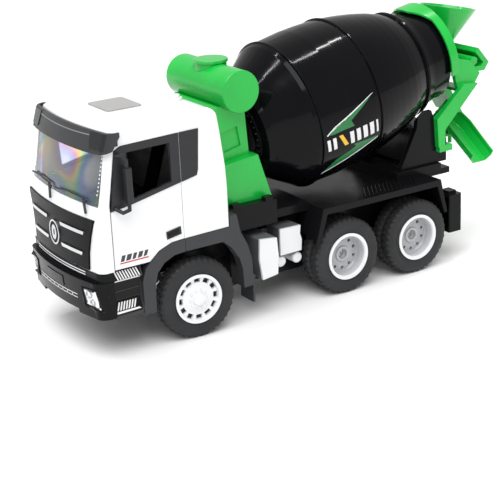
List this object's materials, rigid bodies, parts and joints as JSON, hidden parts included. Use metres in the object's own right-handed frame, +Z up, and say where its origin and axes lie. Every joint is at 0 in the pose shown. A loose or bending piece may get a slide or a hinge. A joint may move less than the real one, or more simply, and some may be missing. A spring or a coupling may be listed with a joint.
{
  "type": "toy cement mixer truck",
  "caption": "Toy cement mixer truck with a turning drum, hopper, swinging chute, steered front wheels, twin rear wheels and opening cab doors.",
  "frame": {"origin": "on the ground, under the middle of the whole truck (centre of the bottom of its bounding box)", "axes": "+X forward towards the cab, +Y to the truck's left, +Z up"},
  "size_m": [0.4684, 0.156, 0.2448],
  "materials": {
    "chassis_black": "fine-grained moulded plastic",
    "cab_white": "glossy moulded plastic",
    "trim_black": "satin moulded plastic",
    "bumper_black": "satin moulded plastic",
    "trim_grey": "satin moulded plastic",
    "hatch_grey": "grained moulded plastic",
    "interior_black": "matt moulded plastic",
    "window_clear": "clear polystyrene",
    "lamp_clear": "clear lens over a plated reflector",
    "plated": "bright plated plastic",
    "box_grey": "satin moulded plastic",
    "box_white": "glossy moulded plastic",
    "mixer_green": "glossy moulded plastic",
    "drum_black": "high-gloss moulded plastic",
    "gear_nylon": "natural nylon",
    "motor_case": "drawn steel case",
    "servo_black": "matt plastic",
    "tyre": "soft moulded rubber",
    "rim_white": "glossy moulded plastic",
    "rim_silver": "silver-white moulded plastic",
    "steel": "plated steel",
    "steering_black": "matt plastic",
    "battery_wrap": "shrink wrap",
    "board_green": "solder mask"
  },
  "bodies": {
    "chassis": {"chassis_frame": "chassis_black", "bed_shell": "chassis_black", "cab_shell": "cab_white", "cab_interior": "interior_black", "steering_wheel": "interior_black", "windshield": "window_clear", "sun_visor": "trim_grey", "grille": "trim_black", "grille_chrome": "plated", "front_bumper": "bumper_black", "headlights": "lamp_clear", "wipers": "trim_black", "quarter_trims": "trim_black", "steps": "chassis_black", "fenders": "chassis_black", "roof_hatch": "hatch_grey", "side_boxes": "box_grey", "box_faces": "box_white", "air_tanks": "box_white", "rear_bumper": "chassis_black", "front_pedestal": "mixer_green", "water_tank": "mixer_green", "tank_cap": "mixer_green", "rear_pedestal": "chassis_black", "discharge_frame": "mixer_green", "hopper": "mixer_green", "drum_motor": "motor_case", "steering_servo": "servo_black", "drive_motor": "motor_case", "battery_pack": "battery_wrap", "battery_cover": "chassis_black", "circuit_board": "board_green", "screws": "steel"},
    "door_left": {"door_left": "cab_white", "door_frame_left": "trim_black", "mirror_left": "trim_black"},
    "door_right": {"door_right": "cab_white", "door_frame_right": "trim_black", "mirror_right": "trim_black"},
    "knuckle_left": {"knuckle_left": "steering_black"},
    "knuckle_right": {"knuckle_right": "steering_black"},
    "front_wheel_left": {"front_tyre_left": "tyre", "front_rim_left": "rim_white"},
    "front_wheel_right": {"front_tyre_right": "tyre", "front_rim_right": "rim_white"},
    "tie_rod": {"tie_rod": "steering_black"},
    "servo_horn": {"servo_horn": "servo_black"},
    "mid_wheels": {"mid_axle": "steel", "mid_rims": "rim_silver", "mid_tyres": "tyre", "axle_gear": "gear_nylon"},
    "rear_wheels": {"rear_axle": "steel", "rear_rims": "rim_silver", "rear_tyres": "tyre"},
    "motor_pinion": {"motor_pinion": "gear_nylon"},
    "drum": {"drum_shell": "drum_black", "drum_gear": "gear_nylon"},
    "drum_pinion": {"drum_pinion": "gear_nylon"},
    "chute": {"chute": "mixer_green"},
    "power_switch": {"power_switch": "servo_black"}
  },
  "joints": [
    {"name": "steer_left", "type": "hinge", "parent": "chassis", "child": "knuckle_left", "pos_m": [0.13074, 0.045, 0.036], "axis": [0, 0, 1], "range_deg": [-21.5, 28.5]},
    {"name": "steer_right", "type": "hinge", "parent": "chassis", "child": "knuckle_right", "pos_m": [0.13074, -0.045, 0.036], "axis": [0, 0, 1], "range_deg": [-21.5, 28.5]},
    {"name": "tie_rod_slide", "type": "slide", "parent": "chassis", "child": "tie_rod", "axis": [0, 1, 0], "range_m": [-0.009, 0.0068]},
    {"name": "servo_horn_turn", "type": "hinge", "parent": "chassis", "child": "servo_horn", "pos_m": [0.09474, 0, 0.0324], "axis": [0, 0, 1], "range_deg": [-28.5, 21.5]},
    {"name": "front_wheel_left_spin", "type": "hinge", "parent": "knuckle_left", "child": "front_wheel_left", "pos_m": [0.13166, 0.05997, 0.036], "axis": [0.061, 0.9981, 0], "continuous": true},
    {"name": "front_wheel_right_spin", "type": "hinge", "parent": "knuckle_right", "child": "front_wheel_right", "pos_m": [0.12982, -0.05997, 0.036], "axis": [0.061, 0.9981, 0], "continuous": true},
    {"name": "mid_wheels_spin", "type": "hinge", "parent": "chassis", "child": "mid_wheels", "pos_m": [-0.03046, 0, 0.036], "axis": [0, 1, 0], "continuous": true},
    {"name": "rear_wheels_spin", "type": "hinge", "parent": "chassis", "child": "rear_wheels", "pos_m": [-0.11276, 0, 0.036], "axis": [0, 1, 0], "continuous": true},
    {"name": "motor_pinion_spin", "type": "hinge", "parent": "chassis", "child": "motor_pinion", "pos_m": [-0.03046, -0.014, 0.05], "axis": [0, 1, 0], "continuous": true},
    {"name": "drum_spin", "type": "hinge", "parent": "chassis", "child": "drum", "pos_m": [-0.00246, 0, 0.1626], "axis": [-0.9829, 0, 0.184], "continuous": true},
    {"name": "drum_pinion_spin", "type": "hinge", "parent": "chassis", "child": "drum_pinion", "pos_m": [0.05339, 0, 0.12672], "axis": [-0.9829, 0, 0.184], "continuous": true},
    {"name": "chute_swing", "type": "hinge", "parent": "chassis", "child": "chute", "pos_m": [-0.21026, 0, 0.11], "axis": [0, 0, 1], "range_deg": [-10, 190]},
    {"name": "door_left_hinge", "type": "hinge", "parent": "chassis", "child": "door_left", "pos_m": [0.20764, 0.0659, 0.13], "axis": [0, 0, -1], "range_deg": [0, 65]},
    {"name": "door_right_hinge", "type": "hinge", "parent": "chassis", "child": "door_right", "pos_m": [0.20764, -0.0659, 0.13], "axis": [0, 0, 1], "range_deg": [0, 65]},
    {"name": "power_switch_slide", "type": "slide", "parent": "chassis", "child": "power_switch", "axis": [1, 0, 0], "range_m": [0, 0.004]}
  ],
  "couplings": [
    {"joint": "steer_right", "follows": "steer_left", "ratio": 1},
    {"joint": "tie_rod_slide", "follows": "steer_left", "m_per_rad": -0.01767},
    {"joint": "servo_horn_turn", "follows": "steer_left", "ratio": -1},
    {"joint": "motor_pinion_spin", "follows": "mid_wheels_spin", "ratio": -3},
    {"joint": "drum_pinion_spin", "follows": "drum_spin", "ratio": -4}
  ]
}
